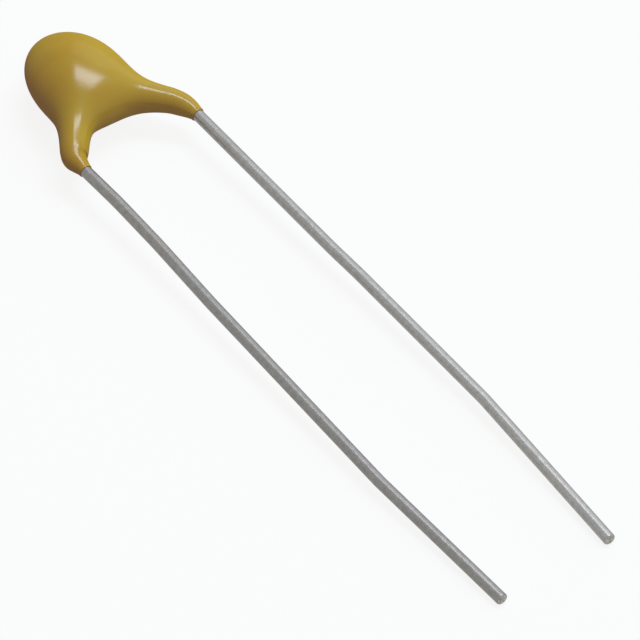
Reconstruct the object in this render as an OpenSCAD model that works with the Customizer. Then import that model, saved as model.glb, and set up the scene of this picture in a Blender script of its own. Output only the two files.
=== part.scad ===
// Ceramic disc capacitor, dipped in ochre epoxy, with two tinned wire leads.
// All sizes are in millimetres. The part lies as it comes to rest on a flat surface:
// the underside of the coat and the two wire tips touch z = 0, the wires run towards -Y
// and the rounded head of the coat lies towards +Y. X runs from the left lead to the right one.

/* [Leads] */
// diameter of the tinned wire
lead_d = 0.5; // [0.3:0.05:0.8]
// distance between the two wires at their cut tips
tip_pitch = 5.12; // [3:0.02:8]
// how far the left leg of the coat stands out from the middle at its end
left_exit_out = 2.71; // [1.5:0.005:4]
// how far the right leg of the coat stands out from the middle at its end
right_exit_out = 2.645; // [1.5:0.005:4]
// how far the left wire's kink stands out from the middle
left_kink_out = 2.85; // [1.5:0.01:4.5]
// how far the right wire's kink stands out from the middle
right_kink_out = 2.93; // [1.5:0.01:4.5]
// length of the wires from the left end of the coat to the cut tips
lead_length = 26.9; // [8:0.1:60]
// distance from the left end of the coat to the kink of the left wire
left_kink_at = 19.45; // [4:0.05:50]
// distance from the left end of the coat to the kink of the right wire
right_kink_at = 18.45; // [4:0.05:50]
// radius of a kink, on the wire's centre line
kink_r = 5; // [1:0.5:10]
// chamfer that the cutter leaves on a tip
tip_chamfer = 0.06; // [0.02:0.01:0.12]
// how much a bend swells the wire's radius
bend_swell = 0.005; // [0.002:0.001:0.01]

/* [Soft bends of the wires] */
// how far out the left wire's first soft bend lies
left_first_out = 2.64; // [1.5:0.01:4]
// how far below the coat the left wire's first soft bend lies
left_first_at = 2.05; // [1:0.05:3.5]
// how far out the left wire's second soft bend lies
left_second_out = 2.65; // [1.5:0.01:4]
// how far below the coat the left wire's second soft bend lies
left_second_at = 4.75; // [4:0.05:6.5]
// how far out the left wire's third soft bend lies
left_third_out = 2.76; // [1.5:0.01:4]
// how far below the coat the left wire's third soft bend lies
left_third_at = 8.4; // [7:0.05:12]
// how far out the right wire's first soft bend lies
right_first_out = 2.77; // [1.5:0.01:4]
// how far below the coat the right wire's first soft bend lies
right_first_at = 8.9; // [5:0.05:9.5]
// how far out the right wire's second soft bend lies
right_second_out = 2.83; // [1.5:0.01:4]
// how far below the coat the right wire's second soft bend lies
right_second_at = 10.5; // [10:0.05:14]
// radius of the soft bends, on the wire's centre line
soft_bend_r = 20; // [5:1:25]

/* [Bends inside the coat] */
// angle between the left wire's slanted stretch and the lead direction
left_flare = 35.7; // [20:0.1:50]
// angle between the right wire's slanted stretch and the lead direction
right_flare = 38.9; // [20:0.1:50]
// height of the left wire's corner above the end of its leg
left_corner = 0.78; // [0.5:0.01:1.5]
// height of the right wire's corner above the end of its leg
right_corner = 0.72; // [0.4:0.01:1.5]
// bend radius of the left wire, on its centre line
left_bend_r = 0.53; // [0.4:0.01:2]
// bend radius of the right wire, on its centre line
right_bend_r = 2.27; // [0.4:0.01:2.6]
// bend radius where a wire comes off the face of the disc
rim_bend_r = 1; // [0.5:0.1:3]

/* [Epoxy coat] */
// width of the rounded head
head_w = 3.64; // [3.4:0.02:6]
// length of the rounded head along the leads
head_h = 4.66; // [3.6:0.02:7]
// thickness of the rounded head
head_t = 2.4; // [2.2:0.05:4]
// height of the head's middle above the left end of the coat
head_up = 4.24; // [3:0.02:6]
// how far the head sits to the left of the middle between the leads
head_left = 0.13; // [0:0.01:0.5]
// softness of the hollow where the legs run into the head
blend = 0.55; // [0.15:0.01:0.7]
// radius of the coat's lip around the wire
lip_r = 0.285; // [0.28:0.005:0.5]
// radius of the left leg just above its end
left_low_r = 0.3; // [0.29:0.005:0.6]
// radius of the right leg just above its end
right_low_r = 0.31; // [0.29:0.005:0.6]
// radius of the left leg where its steep taper ends
left_mid_r = 0.565; // [0.4:0.005:0.8]
// radius of the right leg where its steep taper ends
right_mid_r = 0.48; // [0.4:0.005:0.8]
// how far above its end the left leg's steep taper ends
left_mid_at = 1.03; // [0.4:0.01:1.5]
// how far above its end the right leg's steep taper ends
right_mid_at = 0.77; // [0.4:0.01:1.5]
// radius of the left leg where it runs into the head
left_top_r = 0.57; // [0.5:0.01:1.2]
// radius of the right leg where it runs into the head
right_top_r = 0.6; // [0.5:0.01:1.2]
// length of the rounding at the end of a leg
end_round = 0.12; // [0.05:0.01:0.6]
// softness of the change from a leg's steep taper to its gentle one
taper_soft = 0.03; // [0.01:0.005:0.1]
// how much further than the left leg the right leg runs down its wire
right_leg_low = 0.11; // [0:0.01:0.5]
// share of a wire's offset from the middle plane that its leg of the coat follows
follow = 0.3; // [0:0.05:1]

/* [Disc and solder] */
// diameter of the ceramic disc
disc_d = 3; // [2:0.1:3.2]
// thickness of the ceramic disc
disc_t = 0.3; // [0.2:0.05:0.6]
// height of the disc's centre above the left end of the coat
disc_up = 4.24; // [3:0.02:6]
// diameter of the silver layer on each face
electrode_d = 2.5; // [1.5:0.1:2.8]
// thickness of the silver layer
electrode_t = 0.03; // [0.02:0.01:0.06]
// diameter of the solder mound on the silver
solder_d = 1.8; // [1:0.1:2.4]
// height of the solder mound above the silver
solder_h = 0.62; // [0.4:0.02:0.8]
// thickness of the solder between the silver and the wire
solder_film = 0.05; // [0.03:0.01:0.1]
// how far the wire's end stops short of the disc's centre
wire_stop = 0.1; // [-0.3:0.05:0.5]

/* [Fineness of the coat] */
// points around a section of the coat
around = 40; // [24:4:48]
// sections in the fan over each half of the head
fan_steps = 16; // [8:1:24]
// distance between sections along a leg
leg_step = 0.16; // [0.1:0.01:0.4]

/* [Hidden] */
$fn = 96;
lead_r = lead_d / 2;
// height of a wire's centre line over the middle plane of the disc
wire_z = disc_t / 2 + electrode_t + solder_film + lead_r;
// how far a rod's end reaches into the bend beside it
rod_reach = 0.02;
// how far the tip's chamfered end reaches into its rod, and the ledge around its foot
tip_reach = 0.02;
tip_ledge = 0.005;
// the wire leaves the disc's face just outside the rim
rim_clear = 0.15;
// point between the legs that the sections over the head fan about
pivot = [-0.05, 0.75];
// middle and half length of the head's own section, seen from the pivot
crown_mid = head_up - 0.15;
crown_half = head_h / 2 + 0.25;
golden = "#B1902F";
tin = "#A9ABA6";
silver = "#D9D9D4";
solder_grey = "#8E9194";
body_grey = "#6F665B";

// "all" draws the whole capacitor, and a part's name draws that part alone

// The wire's course, seen from above, with x counted outwards from the middle.

// One side's course as [side, flare, arc start height, bend radius, arc centre x, arc end,
// flare direction, height of the leg's end, [low, middle and top radius, height of the middle],
// distance of the leg's end from the middle].
function course(side, x_out, flare, corner, bend_r, leg_end, leg) =
    let (
        arc_from = leg_end + corner - bend_r * tan(flare / 2),
        arc_x = x_out - bend_r,
        arc_end = [arc_x + bend_r * cos(flare), arc_from + bend_r * sin(flare)]
    )
    [side, flare, arc_from, bend_r, arc_x, arc_end, [-sin(flare), cos(flare)], leg_end, leg, x_out];

left_course = course(-1, left_exit_out, left_flare, left_corner, left_bend_r, 0,
                     [left_low_r, left_mid_r, left_top_r, left_mid_at]);
right_course = course(1, right_exit_out, right_flare, right_corner, right_bend_r, -right_leg_low,
                      [right_low_r, right_mid_r, right_top_r, right_mid_at]);

// Distances t run along the wire from the end of its leg of the coat.
function arc_t(c) = c[2] - c[7];
function arc_length(c) = c[3] * c[1] * PI / 180;
function flare_from(c) = arc_t(c) + arc_length(c);

// Distance up the slanted stretch, from the arc's end, to the point nearest to p.
function up_flare(c, p) = (p - c[5]) * c[6];

// The disc's centre, and where a side's wire passes the disc's rim and its centre.
disc_centre = [-head_left, disc_up];
function disc_seen(c) = [c[0] * disc_centre.x, disc_centre.y];
function miss(c) =
    let (off = disc_seen(c) - c[5])
    off.x * c[6].y - off.y * c[6].x;
function rim_run(c) =
    let (reach = disc_d / 2 + rim_clear)
    up_flare(c, disc_seen(c)) - sqrt(reach * reach - miss(c) * miss(c));
function stop_run(c) = up_flare(c, disc_seen(c)) - wire_stop;

// Height of the wire's centre line over the middle plane, t along its course.
function rise(c, t) = wire_z * max(0, min(1, (t - flare_from(c)) / rim_run(c)));

// The coat as one soft field: below zero inside, above zero outside.

function head_gap(p) =
    let (
        half = [head_w / 2, head_h / 2, head_t / 2],
        q = [(p.x + head_left) / half.x, (p.y - head_up) / half.y, p.z / half.z],
        n = norm(q),
        m = norm([q.x / half.x, q.y / half.y, q.z / half.z])
    )
    n * (n - 1) / max(m, 0.0001);

// A leg's steep taper and its gentle one, softly joined.
function taper(c, t) =
    let (
        low_r = c[8][0],
        mid_r = c[8][1],
        top_r = c[8][2],
        mid_at = c[8][3],
        top = flare_from(c) + rim_run(c),
        steep = low_r + (mid_r - low_r) * (t - end_round) / (mid_at - end_round),
        gentle = mid_r + (top_r - mid_r) * (min(t, top) - mid_at) / (top - mid_at),
        m = min(steep, gentle)
    )
    m - taper_soft * ln(exp((m - steep) / taper_soft) + exp((m - gentle) / taper_soft));

// Radius of a leg, with a quarter ellipse at its end.
function leg_radius(c, t) =
    t < end_round
        ? lip_r + (taper(c, end_round) - lip_r) * sqrt(max(0, 1 - pow(1 - max(t, 0) / end_round, 2)))
        : taper(c, t);

function leg_gap(c, p, side_z) =
    let (
        x = c[0] * p.x,
        low = p.y < c[2] && x > c[4],
        up = up_flare(c, [x, p.y]),
        run = min(up, stop_run(c)),
        angle = max(0, min(c[1], atan2(p.y - c[2], x - c[4]))),
        t = low ? max(p.y - c[7], 0)
          : up > 0 ? flare_from(c) + run
          : arc_t(c) + c[3] * angle * PI / 180,
        flat = low ? abs(x - c[9])
             : up > 0 ? norm([x, p.y] - c[5] - run * c[6])
             : abs(norm([x - c[4], p.y - c[2]]) - c[3])
    )
    norm([flat, p.z - side_z * follow * rise(c, t)]) - leg_radius(c, t);

function coat_gap(p) =
    let (
        a = head_gap(p),
        b = leg_gap(left_course, p, 1),
        d = leg_gap(right_course, p, -1),
        m = min(a, b, d)
    )
    m - blend * ln(exp((m - a) / blend) + exp((m - b) / blend) + exp((m - d) / blend));

// Walks from a point inside the coat towards its surface along a unit direction.
walk_steps = 16;
function to_skin(from, dir, far, left) =
    left == 0 ? from + far * dir : to_skin(from, dir, far - coat_gap(from + far * dir), left - 1);

// How the part comes to rest: the coat's lowest point and both tips on one plane.

function under(p) = to_skin([p.x, p.y, 0], [0, 0, -1], 0.6, walk_steps).z;
function settle(p, step, lean, left) =
    left == 0 ? p :
    let (
        near = [for (i = [-1:1], j = [-1:1]) [p.x + i * step, p.y + j * step]],
        low = [for (q = near) q.y * sin(lean) + under(q) * cos(lean)],
        best = search(min(low), low)[0]
    )
    settle(near[best], best == 4 ? step / 2 : step, lean, left - 1);
function lean_on(p) = atan((-under(p) - lead_r) / (lead_length + p.y));

first_touch = [-head_left, head_up];
second_touch = settle(first_touch, 0.3, lean_on(first_touch), 14);
lean = lean_on(second_touch);
lift = lead_length * sin(lean) + lead_r * cos(lean);
crown_y = head_up * cos(lean) + norm([head_h / 2 * cos(lean), head_t / 2 * sin(lean)]);
forward = (lead_length * cos(lean) - crown_y) / 2;
sideways = (left_kink_out - right_kink_out) / 2;

module at_rest() {
    translate([sideways, forward, lift])
        rotate([lean, 0, 0])
            children();
}

// Round wire along a path, made of straight rods and torus bends. A bend is a hair thicker than
// the rods, whose ends reach into it, so that each end is a clean step and no two skins coincide.

function unit(v) = v / norm(v);
function turn(a, b, c) = acos(max(-1, min(1, unit(b - a) * unit(c - b))));
function trim(a, b, c, r) = r * tan(turn(a, b, c) / 2);

module rod(from, to, r) {
    d = to - from;
    translate(from)
        rotate([0, acos(d.z / norm(d)), atan2(d.y, d.x)])
            cylinder(r = r, h = norm(d));
}

// The bend at corner b between the directions a to b and b to c.
module bend(a, b, c, r, wire) {
    in = unit(b - a);
    out = unit(c - b);
    side = unit(out - in * (in * out));
    normal = cross(in, side);
    centre = b - in * trim(a, b, c, r) + side * r;
    // local x runs from the bend's centre to its start, local y along the wire
    multmatrix([[-side.x, in.x, normal.x, centre.x],
                [-side.y, in.y, normal.y, centre.y],
                [-side.z, in.z, normal.z, centre.z],
                [0, 0, 0, 1]])
        rotate_extrude(angle = turn(a, b, c))
            translate([r, 0])
                circle(r = wire + bend_swell);
}

module wire_path(points, radii, wire) {
    last = len(points) - 1;
    for (i = [0:last - 1]) {
        way = unit(points[i + 1] - points[i]);
        cut_a = i == 0 ? 0
            : trim(points[i - 1], points[i], points[i + 1], radii[i]) - rod_reach;
        cut_b = i == last - 1 ? 0
            : trim(points[i], points[i + 1], points[i + 2], radii[i + 1]) - rod_reach;
        rod(points[i] + way * cut_a, points[i + 1] - way * cut_b, wire);
    }
    for (i = [1:last - 1])
        bend(points[i - 1], points[i], points[i + 1], radii[i], wire);
}

// The parts, each in the flat frame of the disc.

module lead(c, soft, kink_out, kink_at, side_z) {
    s = c[0];
    corner_y = c[2] + c[3] * tan(c[1] / 2);
    way = [s * c[6].x, c[6].y];
    // the wire passes the middle of the leg's end on its way to the first soft bend
    splay = (c[9] - soft[0].x) / (soft[0].y + c[7]);
    corner = [s * (c[9] + splay * (corner_y - c[7])), corner_y, 0];
    arc_end = [s * c[5].x, c[5].y];
    rim = arc_end + way * rim_run(c);
    stop = arc_end + way * stop_run(c);
    kink = [s * kink_out, -kink_at, 0];
    tip = [s * tip_pitch / 2, -lead_length, 0];
    tip_way = unit(tip - kink);
    face_end = [stop.x, stop.y, side_z * wire_z];
    off_rim = [rim.x, rim.y, side_z * wire_z];
    cut = tip - tip_way * tip_chamfer;
    points = concat([face_end, off_rim, corner], [for (p = soft) [s * p.x, -p.y, 0]], [kink, cut]);
    radii = concat([0, rim_bend_r, c[3]], [for (p = soft) soft_bend_r], [kink_r, 0]);
    wire_path(points, radii, lead_r);
    // the chamfered end
    translate(cut - tip_way * tip_reach)
        rotate([0, 90, atan2(tip_way.y, tip_way.x)])
            cylinder(
                r1 = lead_r - tip_ledge,
                r2 = lead_r - tip_chamfer,
                h = tip_chamfer + tip_reach
            );
}

module disc() {
    translate([disc_centre.x, disc_centre.y, -disc_t / 2])
        cylinder(d = disc_d, h = disc_t);
}

module electrode(side_z) {
    translate([disc_centre.x, disc_centre.y, side_z > 0 ? disc_t / 2 : -disc_t / 2 - electrode_t])
        cylinder(d = electrode_d, h = electrode_t);
}

// A cap of a sphere on the silver layer.
module mound(side_z) {
    half = solder_d / 2;
    ball = (half * half + solder_h * solder_h) / (2 * solder_h);
    base = disc_t / 2 + electrode_t;
    translate([disc_centre.x, disc_centre.y, 0])
        rotate([side_z > 0 ? 0 : 180, 0, 0])
            intersection() {
                translate([0, 0, base + solder_h - ball])
                    sphere(r = ball);
                translate([0, 0, base])
                    cylinder(d = solder_d + 1, h = solder_h + 1);
            }
}

module left_lead() {
    soft = [
        [left_first_out, left_first_at],
        [left_second_out, left_second_at],
        [left_third_out, left_third_at]
    ];
    lead(left_course, soft, left_kink_out, left_kink_at, 1);
}

module right_lead() {
    soft = [
        [right_first_out, right_first_at],
        [right_second_out, right_second_at]
    ];
    lead(right_course, soft, right_kink_out, right_kink_at, -1);
}

// The coat: sections from the left leg's end over the head to the right leg's end.

// One section as [centre, direction across, half width across, half width in z].
function leg_section(c, side_z, t) =
    let (
        angle = max(0, min(c[1], (t - arc_t(c)) / c[3] * 180 / PI)),
        flat = t < arc_t(c) ? [c[9], t + c[7]]
             : t < flare_from(c) ? [c[4] + c[3] * cos(angle), c[2] + c[3] * sin(angle)]
             : c[5] + (t - flare_from(c)) * c[6],
        r = leg_radius(c, t)
    )
    [[c[0] * flat.x, flat.y, side_z * follow * rise(c, t)], [c[0] * cos(angle), sin(angle), 0], r, r];

// The fan's first section stands square on the slanted stretch and passes through the pivot.
function pivot_seen(c) = [c[0] * pivot.x, pivot.y];
function fan_t(c) = flare_from(c) + up_flare(c, pivot_seen(c));

function fan_section(c, side_z, share) =
    let (
        first = leg_section(c, side_z, fan_t(c)),
        angle = c[1] + (90 - c[1]) * share,
        across = [c[0] * cos(angle), sin(angle), 0],
        soft = share * share * (3 - 2 * share),
        near = norm([first[0].x, first[0].y] - pivot),
        far = near + (crown_mid - pivot.y - near) * soft,
        centre = [pivot.x, pivot.y, 0] + far * across
    )
    [[centre.x, centre.y, first[0].z * (1 - soft)], across,
     first[2] + (crown_half - first[2]) * soft,
     first[3] + (head_t / 2 - first[3]) * soft];

function side_sections(c, side_z) =
    let (
        round_steps = 5,
        leg_steps = ceil((fan_t(c) - end_round) / leg_step)
    )
    [
        for (i = [0:round_steps - 1])
            leg_section(c, side_z, end_round * (1 - cos(90 * i / round_steps))),
        for (i = [0:leg_steps - 1])
            leg_section(c, side_z, end_round + (fan_t(c) - end_round) * i / leg_steps),
        for (i = [0:fan_steps - 1])
            fan_section(c, side_z, i / fan_steps)
    ];

function section_ring(s) = [
    for (i = [0:around - 1])
        let (
            angle = 360 * i / around,
            dir = unit(s[2] * cos(angle) * s[1] + [0, 0, s[3] * sin(angle)]),
            start = 0.5 * min(s[2], s[3])
        )
        to_skin(s[0], dir, start, walk_steps)
];

// The right side's sections are passed in reverse, from the head down to the leg's end.
function backwards(v) = [for (i = [len(v) - 1:-1:0]) v[i]];

module coat_skin() {
    left = side_sections(left_course, 1);
    right = side_sections(right_course, -1);
    crown = fan_section(left_course, 1, 1);
    sections = concat(left, [crown], backwards(right));
    rings = [for (s = sections) section_ring(s)];
    count = len(rings);
    points = concat([for (r = rings) each r], [sections[0][0], sections[count - 1][0]]);
    first_end = count * around;
    walls = [
        for (j = [0:count - 2], i = [0:around - 1])
            let (
                k = (i + 1) % around,
                a = j * around + i,
                b = j * around + k,
                c = a + around,
                d = b + around
            )
            each [[a, d, b], [a, c, d]]
    ];
    caps = [
        for (i = [0:around - 1])
            let (k = (i + 1) % around, j = (count - 1) * around)
            each [[first_end, i, k], [first_end + 1, j + k, j + i]]
    ];
    polyhedron(points = points, faces = concat(walls, caps), convexity = 6);
}

module epoxy_coating() {
    color(golden)
        at_rest()
            difference() {
                coat_skin();
                disc();
                electrode(1);
                electrode(-1);
                mound(1);
                mound(-1);
                left_lead();
                right_lead();
            }
}

module ceramic_disc() {
    color(body_grey)
        at_rest()
            disc();
}

module electrode_front() {
    color(silver)
        at_rest()
            electrode(1);
}

module electrode_back() {
    color(silver)
        at_rest()
            electrode(-1);
}

module solder_front() {
    color(solder_grey)
        at_rest()
            difference() {
                mound(1);
                left_lead();
            }
}

module solder_back() {
    color(solder_grey)
        at_rest()
            difference() {
                mound(-1);
                right_lead();
            }
}

module lead_left() {
    color(tin)
        at_rest()
            left_lead();
}

module lead_right() {
    color(tin)
        at_rest()
            right_lead();
}

epoxy_coating();
ceramic_disc();
electrode_front();
electrode_back();
solder_front();
solder_back();
lead_left();
lead_right();
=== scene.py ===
# %% [markdown]
# # A dipped ceramic disc capacitor
#
# The part is tiny: a bead of ochre epoxy less than 7 mm long, on two tinned wires that are half a
# millimetre thick. A ceramic disc sits inside the bead. It was dipped head first into wet resin, and the
# resin ran a little way down each wire before it set, so the coat has a round head, two short legs and a
# soft arch between them.
#
# A CAD model of the part already exists, and it sets every size and place. This notebook dresses it for a
# picture: a smoother coat, finer wires, and finishes with the gloss, grain and wear of the real ones.

import math

import bpy
import numpy as np
from mathutils import Matrix, Vector


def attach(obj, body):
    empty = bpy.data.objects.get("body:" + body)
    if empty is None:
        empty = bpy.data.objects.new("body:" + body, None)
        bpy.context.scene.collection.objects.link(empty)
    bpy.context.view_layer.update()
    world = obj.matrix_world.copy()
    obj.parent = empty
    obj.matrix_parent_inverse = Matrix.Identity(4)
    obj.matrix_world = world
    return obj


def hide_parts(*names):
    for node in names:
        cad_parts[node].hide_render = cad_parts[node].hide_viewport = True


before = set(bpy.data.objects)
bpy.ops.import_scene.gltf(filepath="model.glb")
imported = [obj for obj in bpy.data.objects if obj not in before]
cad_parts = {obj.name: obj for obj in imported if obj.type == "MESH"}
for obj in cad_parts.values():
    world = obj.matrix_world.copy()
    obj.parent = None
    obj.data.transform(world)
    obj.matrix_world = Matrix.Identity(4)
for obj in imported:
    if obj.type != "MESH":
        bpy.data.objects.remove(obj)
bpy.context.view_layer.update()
print("CAD parts:", sorted(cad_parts))

# %% [markdown]
# ## Where the camera stands
#
# The picture looks down on the part from the front left, from far away through a long lens, so the two
# wires stay almost parallel. We could move a camera by hand until it looks right. It is surer to write down
# the direction, the distance and how many millimetres the picture is wide, and to let the lens follow from
# those.

# %% Place the camera
view_azimuth = math.radians(-36.46)
view_elevation = math.radians(46.785)
view_distance = 0.400
view_width = 0.024848
look_at = Vector((0.000616, -0.000726, 0.0))

to_camera = Vector((
    math.sin(view_azimuth) * math.cos(view_elevation),
    -math.cos(view_azimuth) * math.cos(view_elevation),
    math.sin(view_elevation),
))
camera_data = bpy.data.cameras.new("Camera")
camera_data.sensor_width = 36.0
camera_data.lens = camera_data.sensor_width * view_distance / view_width
camera_data.clip_start = 0.01
camera = bpy.data.objects.new("Camera", camera_data)
camera.location = look_at + to_camera * view_distance
camera.rotation_euler = to_camera.to_track_quat("Z", "Y").to_euler()
bpy.context.scene.collection.objects.link(camera)
bpy.context.scene.camera = camera
print("lens in mm:", round(camera_data.lens, 1))

# %% [markdown]
# ## How the part lies
#
# The part was drawn flat, with its disc level and its wires in one plane, and then set down on the table.
# The coat is thicker than the wires, so the wires slope down from the coat to their tips. Every shape below
# is worked out in the flat drawing first, and this step tips it and sets it down.

# %% Set the part down
lean = math.radians(2.2801)
sideways, forward, lift = -0.04, 10.1567, 1.32001


def set_down(points):
    """Drawing millimetres to table metres."""
    p = np.asarray(points, float)
    y = p[..., 1] * math.cos(lean) - p[..., 2] * math.sin(lean) + forward
    z = p[..., 1] * math.sin(lean) + p[..., 2] * math.cos(lean) + lift
    return np.stack([p[..., 0] + sideways, y, z], axis=-1) / 1000


print("end of the coat in mm:", np.round(set_down([0, 0, 0]) * 1000, 2))

# %% [markdown]
# ## The course of a wire
#
# Each wire starts on a face of the disc, slants outwards and down past the rim, and bends to run out of the
# coat. From there to the tip it sways by a tenth of a millimetre and kinks inwards by three degrees, as
# soft wire does when fingers straighten it. The course is a list of corner points. A round arc at each
# corner turns the list into a smooth line.
#
# All lengths are in millimetres and flare is in degrees. For each wire, out is how far it leaves the coat
# from the middle line, flare is its slant inside the coat, and corner and bend are the place and the radius
# of the bend between them. The leg of resin around it stops at end, and the four numbers after that are the
# leg's radii and the place where its taper changes. The soft bends and the kink are pairs of how far out
# and how far down. Inside the coat a wire crosses the disc's rim and stops just short of its middle.

# %% Wire courses
lead_r = 0.25
wire_z = 0.48
disc_centre = np.array([-0.13, 4.24])
rim_r = 1.65
short_of_middle = 0.1
tip_half, lead_length = 2.56, 26.9
sides = {
    "left": dict(
        side=-1, out=2.71, flare=35.7, corner=0.78, bend=0.53, end=0.0,
        low_r=0.30, mid_r=0.565, top_r=0.57, mid_at=1.03,
        soft=[(2.64, 2.05), (2.65, 4.75), (2.76, 8.4)], kink=(2.85, 19.45),
    ),
    "right": dict(
        side=1, out=2.645, flare=38.9, corner=0.72, bend=2.27, end=-0.11,
        low_r=0.31, mid_r=0.48, top_r=0.60, mid_at=0.77,
        soft=[(2.77, 8.9), (2.83, 10.5)], kink=(2.93, 18.45),
    ),
}
for wire in sides.values():
    wire["flare"] = math.radians(wire["flare"])
    s, flare, bend = wire["side"], wire["flare"], wire["bend"]
    wire["arc_from"] = wire["end"] + wire["corner"] - bend * math.tan(flare / 2)
    wire["arc_t"] = wire["arc_from"] - wire["end"]
    wire["arc_x"] = wire["out"] - bend
    wire["arc_end"] = np.array([
        wire["arc_x"] + bend * math.cos(flare),
        wire["arc_from"] + bend * math.sin(flare),
    ])
    wire["way"] = np.array([-math.sin(flare), math.cos(flare)])
    seen = np.array([s * disc_centre[0], disc_centre[1]]) - wire["arc_end"]
    miss = seen[0] * wire["way"][1] - seen[1] * wire["way"][0]
    wire["flare_from"] = wire["arc_t"] + bend * flare
    wire["rim_run"] = seen @ wire["way"] - math.sqrt(rim_r**2 - miss**2)
    wire["stop_run"] = seen @ wire["way"] - short_of_middle
    print("slanted stretch in mm:", round(wire["stop_run"], 2))

# %% [markdown]
# ## The coat as a soft field
#
# Wet resin has no edges: where the head meets a leg, the surface fills in with a hollow curve. A field
# gives just that. Each simple form, an egg for the head and a bent tapering rod for each leg, says how far
# a point is from its skin, and a soft minimum melts the three answers into one. The coat's skin is where
# the result is zero.
#
# A leg's thickness comes first. It shrinks gently at first and steeply near the end, and closes in a small
# rounded lip around the wire.

# %% Thickness of a leg
lip_r, end_round, follow = 0.285, 0.12, 0.3


def taper(wire, t, soft=0.03):
    """A leg's steep taper and its gentle one, softly joined."""
    low_r, mid_r, top_r, mid_at = wire["low_r"], wire["mid_r"], wire["top_r"], wire["mid_at"]
    top = wire["flare_from"] + wire["rim_run"]
    steep = low_r + (mid_r - low_r) * (t - end_round) / (mid_at - end_round)
    gentle = mid_r + (top_r - mid_r) * (np.minimum(t, top) - mid_at) / (top - mid_at)
    return -soft * np.logaddexp(-steep / soft, -gentle / soft)


def leg_radius(wire, t):
    """A leg's radius at t millimetres from its end, with a small rounded lip at the very end."""
    share = np.clip(np.maximum(t, 0) / end_round, 0, 1)
    first = taper(wire, end_round)
    end = lip_r + (first - lip_r) * np.sqrt(1 - (1 - share) ** 2)
    return np.where(t < end_round, end, taper(wire, np.maximum(t, end_round)))


def leg_rise(wire, t):
    """How far a leg's middle line climbs or sinks towards its wire's face of the disc."""
    share = np.clip((t - wire["flare_from"]) / wire["rim_run"], 0, 1)
    return -wire["side"] * follow * wire_z * share


for side, wire in sides.items():
    radii = leg_radius(wire, np.array([0.0, 0.5, 1.0, 2.0]))
    print(side, "leg's radius in mm, from its end up:", np.round(radii, 2))

# %% [markdown]
# Now the field itself. The distance to a leg is measured from its middle line, which has three stretches:
# straight at the end, round in the bend and straight again on the slant. The head is a stretched ball,
# whose distance is only nearly right, and that is enough, because the skin is where it is zero.

# %% Field of the coat
head_centre = np.array([*disc_centre, 0.0])
head_half = np.array([1.82, 2.33, 1.20])
blend = 0.55


def leg_gap(wire, p):
    """How far points are from a leg's skin, in millimetres."""
    x, y = wire["side"] * p[..., 0], p[..., 1]
    bend, arc_end, way = wire["bend"], wire["arc_end"], wire["way"]
    low = (y < wire["arc_from"]) & (x > wire["arc_x"])
    up = (x - arc_end[0]) * way[0] + (y - arc_end[1]) * way[1]
    run = np.minimum(up, wire["stop_run"])
    angle = np.clip(np.arctan2(y - wire["arc_from"], x - wire["arc_x"]), 0, wire["flare"])
    on_arc = wire["arc_t"] + bend * angle
    on_low = np.maximum(y - wire["end"], 0)
    t = np.where(low, on_low, np.where(up > 0, wire["flare_from"] + run, on_arc))
    off_flare = np.hypot(x - arc_end[0] - run * way[0], y - arc_end[1] - run * way[1])
    off_arc = np.abs(np.hypot(x - wire["arc_x"], y - wire["arc_from"]) - bend)
    flat = np.where(low, np.abs(x - wire["out"]), np.where(up > 0, off_flare, off_arc))
    return np.hypot(flat, p[..., 2] - leg_rise(wire, t)) - leg_radius(wire, t)


def coat_gap(p):
    """How far points are from the coat's skin, in millimetres. It is negative inside."""
    q = (p - head_centre) / head_half
    n = np.linalg.norm(q, axis=-1)
    slope = np.maximum(np.linalg.norm(q / head_half, axis=-1), 1e-4)
    egg = n * (n - 1) / slope
    gaps = np.stack([egg, leg_gap(sides["left"], p), leg_gap(sides["right"], p)])
    low = gaps.min(axis=0)
    return low - blend * np.log(np.exp((low - gaps) / blend).sum(axis=0))


print("field at the head's middle:", round(float(coat_gap(head_centre[None])[0]), 2), "mm")

# %% [markdown]
# ## Skinning the coat
#
# A field has no mesh yet. Blender's voxel remesh could make one, but its small square faces would show as
# ripples in the gloss. Instead, cross-sections follow the coat from the end of one leg, fan over the head
# and go down the other leg. From the middle of each section, spokes walk out until they meet the skin. The
# result is a clean grid of four-sided faces that flows with the shape.

# %% Cross-sections of the coat
pivot = np.array([-0.05, 0.75])
crown_mid, crown_half = head_centre[1] - 0.15, head_half[1] + 0.25


def leg_section(wire, t):
    """The middle, the sideways direction and the two half sizes of the section at t along a leg."""
    s, bend = wire["side"], wire["bend"]
    angle = min(max((t - wire["arc_t"]) / bend, 0), wire["flare"])
    if t < wire["arc_t"]:
        flat = np.array([wire["out"], wire["end"] + t])
    elif t < wire["flare_from"]:
        arc_middle = np.array([wire["arc_x"], wire["arc_from"]])
        flat = arc_middle + bend * np.array([math.cos(angle), math.sin(angle)])
    else:
        flat = wire["arc_end"] + (t - wire["flare_from"]) * wire["way"]
    r = float(leg_radius(wire, np.array(t)))
    centre = np.array([s * flat[0], flat[1], float(leg_rise(wire, np.array(t)))])
    return centre, np.array([s * math.cos(angle), math.sin(angle), 0.0]), r, r


def fan_start(wire):
    """How far along a leg the fan over the head begins."""
    seen = np.array([wire["side"] * pivot[0], pivot[1]]) - wire["arc_end"]
    return wire["flare_from"] + seen @ wire["way"]


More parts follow.
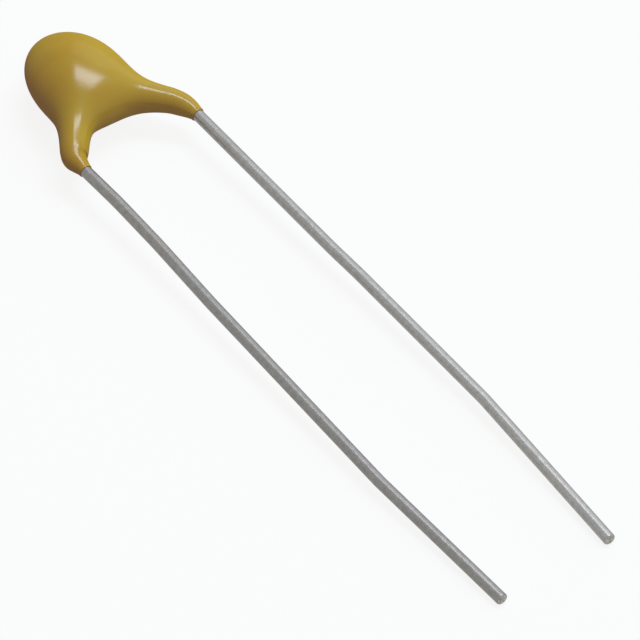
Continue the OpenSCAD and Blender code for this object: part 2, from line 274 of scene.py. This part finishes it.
def fan_section(wire, share):
    """A section of the fan, which turns about the pivot from the leg at 0 to the crown at 1."""
    centre, _, half, deep = leg_section(wire, fan_start(wire))
    angle = wire["flare"] + (math.pi / 2 - wire["flare"]) * share
    across = np.array([wire["side"] * math.cos(angle), math.sin(angle), 0.0])
    soft = share * share * (3 - 2 * share)
    near = np.linalg.norm(centre[:2] - pivot)
    middle = np.array([*pivot, 0.0]) + (near + (crown_mid - pivot[1] - near) * soft) * across
    middle[2] = centre[2] * (1 - soft)
    return middle, across, half + (crown_half - half) * soft, deep + (head_half[2] - deep) * soft


def leg_to_crown(wire, leg_steps=58, fan_steps=60, round_steps=12):
    """The sections from a leg's end up to the crown, without the crown's own."""
    top, first = fan_start(wire), end_round
    ends = [first * (1 - math.cos(math.pi / 2 * i / round_steps)) for i in range(round_steps)]
    run = [first + (top - first) * i / leg_steps for i in range(leg_steps)]
    fan = [fan_section(wire, i / fan_steps) for i in range(fan_steps)]
    return [leg_section(wire, t) for t in ends + run] + fan


sections = leg_to_crown(sides["left"])
sections += [fan_section(sides["left"], 1.0)]
sections += leg_to_crown(sides["right"])[::-1]
print("cross-sections:", len(sections))

# %% [markdown]
# The CAD coat is made of small flat faces, whose corners lie on the round form and whose middles lie just
# inside it. Our faces are finer, so they would stand proud of the CAD ones by a few thousandths of a
# millimetre. The spokes stop a hundredth of a millimetre under the form, and the dressed coat stays within
# the CAD one.

# %% Walk the spokes out to the skin
skin_depth = 0.01
spokes, walk_steps = 96, 40
turn = np.linspace(0, 2 * math.pi, spokes, endpoint=False)
centres = np.array([c for c, _, _, _ in sections])
across = np.array([a for _, a, _, _ in sections])
half = np.array([h for _, _, h, _ in sections])
deep = np.array([d for _, _, _, d in sections])
spoke_dir = (half[:, None] * np.cos(turn))[..., None] * across[:, None, :]
spoke_dir = spoke_dir + (deep[:, None] * np.sin(turn))[..., None] * np.array([0, 0, 1.0])
spoke_dir /= np.linalg.norm(spoke_dir, axis=-1, keepdims=True)
reach = np.repeat(0.5 * np.minimum(half, deep)[:, None], spokes, axis=1)
for _ in range(walk_steps):
    reach = reach - coat_gap(centres[:, None] + reach[..., None] * spoke_dir) - skin_depth
skin = centres[:, None] + reach[..., None] * spoke_dir
print("largest error of the skin in mm:", float(np.abs(coat_gap(skin) + skin_depth).max()))

# %% [markdown]
# ## From rings to a mesh
#
# Both the coat and the wires are stacks of rings, so one helper joins rings into a closed tube. It caps
# each end with a small fan around one point, because a cap with too many corners in one face shades badly.

# %% Build the coat


def ring_mesh(name, rings, cap_points):
    """An object with a closed mesh, from rings of points in table metres and a cap point for each end."""
    count, around = rings.shape[:2]
    points = np.concatenate([rings.reshape(-1, 3), np.asarray(cap_points)])
    faces = []
    for j in range(count - 1):
        for i in range(around):
            k = (i + 1) % around
            faces.append((j * around + i, j * around + k, (j + 1) * around + k, (j + 1) * around + i))
    last = (count - 1) * around
    for i in range(around):
        k = (i + 1) % around
        faces.append((count * around, k, i))
        faces.append((count * around + 1, last + i, last + k))
    mesh = bpy.data.meshes.new(name)
    mesh.from_pydata(points.tolist(), [], faces)
    mesh.validate()
    mesh.shade_smooth()
    piece = bpy.data.objects.new(name, mesh)
    bpy.context.scene.collection.objects.link(piece)
    return piece


coat = ring_mesh("epoxy_coat", set_down(skin), set_down([centres[0], centres[-1]]))
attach(coat, "root")
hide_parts("epoxy_coating")
print("coat:", len(coat.data.vertices), "points")

# %% [markdown]
# ## Two fine wires
#
# Each wire is one length of tinned steel, and it bends without corners. A curve with a round bevel would
# give it in one line, but its end would be a plain flat disc. So the course is worked out as points, and
# rings are set along it afterwards. The first helper turns corners and radii into a smooth line.

# %% Round the corners of a course


def unit(v):
    """The same direction with a length of one."""
    return v / np.linalg.norm(v)


def run_straight(course, end, step):
    """Adds points in a straight line from the last one to the end."""
    run = np.linalg.norm(end - course[-1])
    shares = np.linspace(0, 1, max(2, int(run / step)))[1:, None]
    course.extend(course[-1] + shares * (end - course[-1]))


def rounded_course(corners, radii, step=0.12, arc_step=0.04):
    """Points along a polyline whose corners are round arcs."""
    course = [corners[0]]
    for a, b, c, r in zip(corners[:-2], corners[1:-1], corners[2:], radii):
        incoming, outgoing = unit(b - a), unit(c - b)
        angle = math.acos(min(1.0, float(incoming @ outgoing)))
        inward = unit(outgoing - incoming * (incoming @ outgoing))
        start = b - incoming * r * math.tan(angle / 2)
        run_straight(course, start, step)
        turns = np.linspace(0, angle, max(4, int(angle * r / arc_step)))[1:]
        centre = start + inward * r
        course.extend(centre - inward * r * math.cos(t) + incoming * r * math.sin(t) for t in turns)
    run_straight(course, corners[-1], step)
    return np.array(course)


trial = rounded_course([np.zeros(3), np.array([5.0, 0, 0]), np.array([5.0, 5.0, 0])], [1.0])
print("trial bend:", len(trial), "points")

# %% [markdown]
# A ring has to know which way is up. If each ring chose for itself, the tube would twist where the wire
# bends. So each ring takes its direction from the one before it.

# %% Rings along a course


def wire_rings(course, radii, around=48):
    """Rings square to the course, carried along without twist."""
    way = np.gradient(course, axis=0)
    way /= np.linalg.norm(way, axis=1, keepdims=True)
    side = unit(np.cross(way[0], [0, 0, 1.0]))
    rings = []
    turn = np.linspace(0, 2 * math.pi, around, endpoint=False)[:, None]
    for point, w, r in zip(course, way, radii):
        side = unit(side - w * (side @ w))
        up = np.cross(side, w)
        rings.append(point + r * (np.cos(turn) * side - np.sin(turn) * up))
    return np.array(rings)


print("trial wire:", len(wire_rings(trial, [lead_r] * len(trial))), "rings")

# %% [markdown]
# The corners come from the numbers given above. A wire starts in the solder on its face of the disc,
# crosses the rim, comes to the middle plane at the bend in its leg, and runs past the soft bends and the
# kink to its tip. The soft bends are wide, because they come from handling, and the kink is much tighter.

# %% Course of a whole wire
rim_bend_r, soft_bend_r, kink_r = 1.0, 20.0, 5.0


def on_disc(wire, run):
    """A point of the wire's slanted stretch on its face of the disc."""
    x, y = wire["arc_end"] + wire["way"] * run
    return np.array([wire["side"] * x, y, -wire["side"] * wire_z])


def wire_corners(wire):
    """Where a wire changes direction, from its end on the disc to its tip."""
    s = wire["side"]
    first_x, first_y = wire["soft"][0]
    splay = (wire["out"] - first_x) / (first_y + wire["end"])
    corner_x = wire["out"] + splay * wire["corner"]
    corner = np.array([s * corner_x, wire["end"] + wire["corner"], 0.0])
    below = [*wire["soft"], wire["kink"], (tip_half, lead_length)]
    below = [np.array([s * x, -y, 0.0]) for x, y in below]
    return [on_disc(wire, wire["stop_run"]), on_disc(wire, wire["rim_run"]), corner, *below]


def wire_bends(wire):
    """The radius at each corner between the two ends."""
    return [rim_bend_r, wire["bend"], *[soft_bend_r] * len(wire["soft"]), kink_r]


for side, wire in sides.items():
    print(side, "wire: corners", len(wire_corners(wire)), "and bends", len(wire_bends(wire)))

# %% [markdown]
# A clipped wire has a rolled edge where the cutter pressed it, and its end is slightly domed. So the rings
# shrink in the last tenth of a millimetre.

# %% Clipped ends
edge_roll, end_dome = 0.07, 0.012


def clipped_nose(tip, way):
    """The last rings of a wire: a rolled edge, and then a slightly domed end."""
    nose, nose_r = [], []
    for a in np.linspace(0, math.pi / 2, 9):
        nose.append(tip - way * (edge_roll + end_dome) + way * edge_roll * math.sin(a))
        nose_r.append(lead_r - edge_roll + edge_roll * math.cos(a))
    for share in (0.75, 0.45, 0.2):
        nose.append(tip - way * end_dome * share**2)
        nose_r.append((lead_r - edge_roll) * share)
    return nose, nose_r


print("clipped end:", len(clipped_nose(trial[-1], np.array([0, 1.0, 0]))[0]), "rings")

# %% [markdown]
# The rings become a closed mesh with the same helper as the coat. The cut face shows other metal than the
# plated sides, so it takes a second material, and its faces are told apart by the way they look.

# %% Build both wires
nose_room = 0.01
end_face_limit = 0.75


def build_wire(name, wire):
    """One wire. Its end faces take the second material."""
    corners = wire_corners(wire)
    kink, tip = corners[-2:]
    way = unit(tip - kink)
    course = rounded_course(corners, wire_bends(wire))[:-1]
    nose, nose_r = clipped_nose(tip, way)
    course = course[(course - nose[0]) @ way < -nose_room]
    radii = [lead_r] * len(course) + nose_r
    course = np.concatenate([course, nose])
    piece = ring_mesh(name, set_down(wire_rings(course, radii)), set_down([course[0], tip]))
    tip_way = unit(set_down(tip) - set_down(kink))
    for face in piece.data.polygons:
        face.material_index = int(np.dot(face.normal, tip_way) > end_face_limit)
    return piece, course


wires = {}
for side, node in (("left", "lead_left"), ("right", "lead_right")):
    piece, course = build_wire(f"tinned_wire_{side}", sides[side])
    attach(piece, "root")
    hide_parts(node)
    wires[side] = piece
    length = np.linalg.norm(np.diff(course, axis=0), axis=1).sum()
    print(side, "wire:", round(float(length), 1), "mm long,", len(piece.data.vertices), "points")

# %% [markdown]
# ## The ochre epoxy
#
# The coat is pigmented resin: opaque, smooth and glossy. One glossy shader could give that in a line, but
# two layers come closer to the real thing. The body with the pigment is quite matt, and a thin clear skin
# of pure resin over it does all the mirroring.

# %% Start the epoxy


def new_material(name):
    """A new material, with its node tree and its main shader."""
    material = bpy.data.materials.new(name)
    material.use_nodes = True
    tree = material.node_tree
    shader = tree.nodes["Principled BSDF"]
    return material, tree, shader


epoxy, tree, shader = new_material("ochre_epoxy")
print("started:", epoxy.name)

# %% [markdown]
# The pigment drifts a little from place to place. The colours could be painted on a picture, but noise in
# the object's own space needs no picture and no unwrapping, and it is as sharp close up as from afar. A
# ramp turns its value into colours.

# %% Pigment


def noise(tree, scale, detail=2.0, rough=0.5, stretch=(1, 1, 1)):
    """Noise over the object's own coordinates. Scale is in waves per metre."""
    coords = tree.nodes.new("ShaderNodeTexCoord")
    mapping = tree.nodes.new("ShaderNodeMapping")
    mapping.inputs["Scale"].default_value = stretch
    texture = tree.nodes.new("ShaderNodeTexNoise")
    texture.inputs["Scale"].default_value = scale
    texture.inputs["Detail"].default_value = detail
    texture.inputs["Roughness"].default_value = rough
    tree.links.new(coords.outputs["Object"], mapping.inputs["Vector"])
    tree.links.new(mapping.outputs["Vector"], texture.inputs["Vector"])
    return texture.outputs["Fac"]


def ramp(tree, value, stops):
    """A colour ramp over a value, from (position, colour) stops."""
    node = tree.nodes.new("ShaderNodeValToRGB")
    elements = node.color_ramp.elements
    while len(elements) < len(stops):
        elements.new(0.5)
    for element, (position, colour) in zip(elements, stops):
        element.position = position
        element.color = (*colour, 1.0)
    tree.links.new(value, node.inputs["Fac"])
    return node.outputs["Color"]


drift_waves = 700
pigment = ramp(tree, noise(tree, drift_waves, detail=3), [
    (0.30, (0.520, 0.294, 0.007)),
    (0.50, (0.532, 0.319, 0.010)),
    (0.72, (0.540, 0.346, 0.015)),
])
print("pigment: waves of", round(1000 / drift_waves, 1), "mm")

# %% [markdown]
# A light skin with a strong index shines in the middle of the coat and keeps its rim dark, where a plain
# gloss would turn the rim white. A wide, faint ripple from curing bends the highlights.

# %% Gloss and ripple


def lay_on(tree, shader, colour, roughness, metallic=0.0):
    """Gives a surface its colour and its roughness, and says whether it is metal."""
    tree.links.new(colour, shader.inputs["Base Color"])
    shader.inputs["Roughness"].default_value = roughness
    shader.inputs["Metallic"].default_value = metallic


def bump(tree, height, distance):
    """A surface that rises and sinks with a value. The distance is in metres."""
    node = tree.nodes.new("ShaderNodeBump")
    node.inputs["Distance"].default_value = distance
    tree.links.new(height, node.inputs["Height"])
    return node.outputs["Normal"]


lay_on(tree, shader, pigment, roughness=0.5)
shader.inputs["Specular IOR Level"].default_value = 0.0
shader.inputs["Coat Weight"].default_value = 0.105
shader.inputs["Coat IOR"].default_value = 4.0
shader.inputs["Coat Roughness"].default_value = 0.2
skin_normal = bump(tree, noise(tree, 900, detail=1), 0.000008)
tree.links.new(skin_normal, shader.inputs["Normal"])
tree.links.new(skin_normal, shader.inputs["Coat Normal"])
coat.data.materials.append(epoxy)
print("material:", epoxy.name)

# %% [markdown]
# ## Tinned wire
#
# The wires are steel with a thin tin plating that has gone dull. It still reflects like metal, but each
# reflection is wide and grey, and small patches of oxide make it mottled. Metallic is one, and the colour
# is a fairly dark grey, because the wires mirror a white table and a white room. The grain varies the
# colour and the roughness together, because oxide is both darker and duller than clean tin.

# %% Tin and its oxide
tin, tree, shader = new_material("dull_tin")
grain = noise(tree, 5200, detail=6, rough=0.7)
tone = ramp(tree, grain, [
    (0.32, (0.240, 0.232, 0.220)),
    (0.50, (0.282, 0.273, 0.259)),
    (0.70, (0.334, 0.324, 0.309)),
])
shader.inputs["Metallic"].default_value = 1.0
dullness = tree.nodes.new("ShaderNodeMapRange")
dullness.inputs["To Min"].default_value = 0.40
dullness.inputs["To Max"].default_value = 0.33
tree.links.new(grain, dullness.inputs["Value"])
tree.links.new(dullness.outputs["Result"], shader.inputs["Roughness"])
tree.links.new(bump(tree, grain, 0.000002), shader.inputs["Normal"])
print("material:", tin.name)

# %% [markdown]
# The tin's tone carries painted light. The left wire is darkened, which is painted shade, and the right one
# gets a little brighter towards its tip, which is a painted highlight. Two materials could show that. Here
# the tone follows from where a point lies, so one material serves both wires, and the change along the
# right wire comes with it.

# %% Painted shade and highlight on the tin


def along(tree, coordinate, direction, start, end, first=0.0, last=1.0):
    """A value that runs from first to last while a coordinate goes from start to end along a direction."""
    coords = tree.nodes.new("ShaderNodeTexCoord")
    distance = tree.nodes.new("ShaderNodeVectorMath")
    distance.operation = "DOT_PRODUCT"
    distance.inputs[1].default_value = Vector(direction).normalized()
    tree.links.new(coords.outputs[coordinate], distance.inputs[0])
    level = tree.nodes.new("ShaderNodeMapRange")
    for socket, number in zip(("From Min", "From Max", "To Min", "To Max"), (start, end, first, last)):
        level.inputs[socket].default_value = number
    tree.links.new(distance.outputs["Value"], level.inputs["Value"])
    return level.outputs["Result"]


towards_right_tip = (0.97, -0.10, 0)
left_shade, right_highlight = 0.82, 1.12
# The tone is scaled from painted shade on the left wire up to a painted highlight towards the right wire's
# tip.
shade_and_highlight = along(tree, "Object", towards_right_tip, -0.0014, 0.0038, left_shade, right_highlight)
tone_with_painted_light = tree.nodes.new("ShaderNodeVectorMath")
tone_with_painted_light.operation = "SCALE"
tree.links.new(tone, tone_with_painted_light.inputs[0])
tree.links.new(shade_and_highlight, tone_with_painted_light.inputs["Scale"])
tree.links.new(tone_with_painted_light.outputs["Vector"], shader.inputs["Base Color"])
print("tone of the tin:", left_shade, "on the left and up to", right_highlight, "on the right")

# %% [markdown]
# ## Cut ends
#
# The cutter leaves bare steel at the tip, which the tin no longer covers. The blade draws it out in fine
# light and dark lines, and a thin film of rust and grease makes it olive in places.

# %% Material of the cut ends
cut_steel, tree, shader = new_material("cut_steel")
blade_lines = noise(tree, 9000, detail=4, rough=0.6, stretch=(1, 0.3, 1))
bare = ramp(tree, blade_lines, [
    (0.34, (0.200, 0.188, 0.155)),
    (0.48, (0.320, 0.308, 0.275)),
    (0.62, (0.450, 0.440, 0.412)),
])
lay_on(tree, shader, bare, roughness=0.45, metallic=1.0)
tree.links.new(bump(tree, blade_lines, 0.000003), shader.inputs["Normal"])
for piece in wires.values():
    piece.data.materials.append(tin)
    piece.data.materials.append(cut_steel)
print("material:", cut_steel.name)

# %% [markdown]
# ## What the coat hides
#
# The disc, its silver layers and the solder can't be seen in the picture, but they are real pieces of the
# model, so they get real finishes too. Fired ceramic is a dry grey-brown, and its fine pores make it matt.

# %% Ceramic
ceramic, tree, shader = new_material("fired_ceramic")
pores = noise(tree, 14000, detail=4, rough=0.6)
body = ramp(tree, pores, [(0.35, (0.17, 0.135, 0.10)), (0.65, (0.26, 0.21, 0.16))])
lay_on(tree, shader, body, roughness=0.7)
tree.links.new(bump(tree, pores, 0.000004), shader.inputs["Normal"])
print("material:", ceramic.name)

# %% [markdown]
# Both electrodes are silver paste that was printed on the disc and fired, which leaves a pale and chalky
# metal. The solder on it is smoother and darker, with the slight frost that it gets as it sets.

# %% Silver and solder
silver, tree, shader = new_material("fired_silver")
chalk = noise(tree, 20000, detail=4)
pale = ramp(tree, chalk, [(0.35, (0.62, 0.62, 0.59)), (0.65, (0.80, 0.80, 0.77))])
lay_on(tree, shader, pale, roughness=0.5, metallic=1.0)

solder, tree, shader = new_material("set_solder")
frost = noise(tree, 9000, detail=5)
grey = ramp(tree, frost, [(0.35, (0.36, 0.37, 0.38)), (0.65, (0.56, 0.57, 0.58))])
lay_on(tree, shader, grey, roughness=0.33, metallic=1.0)
tree.links.new(bump(tree, frost, 0.000003), shader.inputs["Normal"])
print("materials:", silver.name, "and", solder.name)

# %% [markdown]
# Each part of the CAD model takes its finish here. The coat and the wires are among them, although the
# finer pieces stand in for them in the picture, so that no part is left bare.

# %% Dress the CAD parts
finish_of = {
    "ceramic_disc": ceramic,
    "electrode_front": silver,
    "electrode_back": silver,
    "solder_front": solder,
    "solder_back": solder,
    "epoxy_coating": epoxy,
    "lead_left": tin,
    "lead_right": tin,
}
for node, material in finish_of.items():
    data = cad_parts[node].data
    data.materials.clear()
    data.materials.append(material)
print("finished CAD parts:", len(finish_of))

# %% [markdown]
# ## A pale table
#
# The part lies on a plain white table. It is one flat face, so wide that no edge or horizon comes into
# view.

# %% Table top
table_half = 3.0
table_corners = [(x * table_half, y * table_half, 0) for x, y in ((-1, -1), (1, -1), (1, 1), (-1, 1))]
table_mesh = bpy.data.meshes.new("table")
table_mesh.from_pydata(table_corners, [], [(0, 1, 2, 3)])
table = bpy.data.objects.new("table", table_mesh)
bpy.context.scene.collection.objects.link(table)
print("table", 2 * table_half, "m wide")

# %% [markdown]
# Enough light to make a table that white would wash out the part, so most of the white comes from the
# surface itself, and a small matt share keeps a soft shadow.

# %% White that needs no light
own_white = 0.88
white = bpy.data.materials.new("white_table")
white.use_nodes = True
tree = white.node_tree
tree.nodes.clear()


def mix(tree, share, first, second):
    """A mix of two shaders. The share is a number or a socket, and 1 gives the second."""
    node = tree.nodes.new("ShaderNodeMixShader")
    if isinstance(share, float):
        node.inputs["Fac"].default_value = share
    else:
        tree.links.new(share, node.inputs["Fac"])
    tree.links.new(first, node.inputs[1])
    tree.links.new(second, node.inputs[2])
    return node.outputs[0]


def matt(tree, tone):
    """A plain matt shader."""
    node = tree.nodes.new("ShaderNodeBsdfDiffuse")
    node.inputs["Color"].default_value = (*tone, 1)
    return node.outputs[0]


glow = tree.nodes.new("ShaderNodeEmission")
glow.inputs["Color"].default_value = (1, 1, 1, 1)
glow.inputs["Strength"].default_value = 1.0
seen_table = mix(tree, own_white, matt(tree, (0.95, 0.95, 0.95)), glow.outputs[0])
print("share of the table's own white:", own_white)

# %% [markdown]
# The camera sees that table, and so do the gloss of the coat and the metal of the wires. Only the light
# that it throws back on the part is changed: a warm light brown, which keeps the coat's lower side deep.

# %% The table's light on the part


def seen_directly(tree):
    """One for rays that show a surface in the picture: from the camera, off a mirror or through glass."""
    path = tree.nodes.new("ShaderNodeLightPath")
    seen = path.outputs["Is Camera Ray"]
    for ray in ("Is Glossy Ray", "Is Transmission Ray"):
        either = tree.nodes.new("ShaderNodeMath")
        either.operation = "MAXIMUM"
        tree.links.new(seen, either.inputs[0])
        tree.links.new(path.outputs[ray], either.inputs[1])
        seen = either.outputs["Value"]
    return seen


lighting_table = matt(tree, (0.42, 0.33, 0.21))
surface = mix(tree, seen_directly(tree), lighting_table, seen_table)
out = tree.nodes.new("ShaderNodeOutputMaterial")
tree.links.new(surface, out.inputs["Surface"])
table_mesh.materials.append(white)
print("material:", white.name)

# %% [markdown]
# ## The room
#
# A room is never equally bright all round, and that is what gives a round form its colour. This one is
# bright and cool on the right and sinks to a dim orange on the left, so the coat turns from yellow to deep
# ochre. A picture of a real room could light the part as well, but one smooth ramp over the direction is
# easier to steer. The camera and every reflection see a plain white backdrop, as they do on the table.

# %% Room
world = bpy.data.worlds.new("soft_room")
bpy.context.scene.world = world
world.use_nodes = True
tree = world.node_tree
tree.nodes.clear()
bright_side = (0.92, -0.12, 0.37)
side_tone = ramp(tree, along(tree, "Generated", bright_side, -0.48, 1.0), [
    (0.0, (0.150, 0.083, 0.028)),
    (0.5, (0.290, 0.230, 0.153)),
    (1.0, (0.840, 1.010, 1.060)),
])
room = tree.nodes.new("ShaderNodeBackground")
tree.links.new(side_tone, room.inputs["Color"])
backdrop = tree.nodes.new("ShaderNodeBackground")
backdrop.inputs["Color"].default_value = (1, 1, 1, 1)
backdrop.inputs["Strength"].default_value = 1.0
surroundings = mix(tree, seen_directly(tree), room.outputs[0], backdrop.outputs[0])
out = tree.nodes.new("ShaderNodeOutputWorld")
tree.links.new(surroundings, out.inputs["Surface"])
print("world:", world.name)

# %% [markdown]
# ## Light
#
# One window-like panel hangs above the part and to the right. It makes the kite-shaped highlight on the
# head, the streaks along both legs and the light stripe on the wires. Its turn matters as much as its
# place: the curved coat squeezes the long panel into a kite, and the turn sets which way the kite points.
# The panel is a hand's width across and stands a forearm away, so it lights both ends of the wires alike. A
# wider and much weaker panel stands lower on the right. It hardly lights the coat, but it widens the stripe
# on the wires towards their right edge.

# %% Window lights


def panel(name, direction, distance, size, watts, colour, roll=0.0):
    """A flat lamp that faces the upper middle of the part. Roll turns it in its own plane, in degrees."""
    lamp = bpy.data.lights.new(name, "AREA")
    lamp.shape = "RECTANGLE"
    lamp.size, lamp.size_y = size
    lamp.energy = watts
    lamp.color = colour
    holder = bpy.data.objects.new(name, lamp)
    direction = Vector(direction).normalized()
    aim = Vector((0.0, 0.010, 0.0))
    holder.location = aim + direction * distance
    facing = direction.to_track_quat("Z", "Y").to_matrix().to_4x4()
    turned = facing @ Matrix.Rotation(math.radians(roll), 4, "Z")
    holder.rotation_euler = turned.to_euler()
    bpy.context.scene.collection.objects.link(holder)
    return holder


window = panel(
    "window", direction=(0.32, 0.09, 0.943), distance=0.30, size=(0.075, 0.19),
    watts=0.45, colour=(0.70, 0.80, 0.96), roll=-65.0,
)
side_window = panel(
    "side_window", direction=(0.70, 0.50, 0.50), distance=0.30, size=(0.22, 0.22),
    watts=0.10, colour=(0.86, 0.95, 1.00),
)
for holder in (window, side_window):
    print(holder.name, "at", [round(v, 2) for v in holder.location])

# %% [markdown]
# ## Plain colours
#
# Blender's usual view transform is made for very bright scenes and greys strong colours a little. The
# Standard one shows a colour about as it is written, so the ochre stays as clear as it is.

# %% Picture settings
scene = bpy.context.scene
scene.view_settings.view_transform = "Standard"
print("view transform:", scene.view_settings.view_transform)
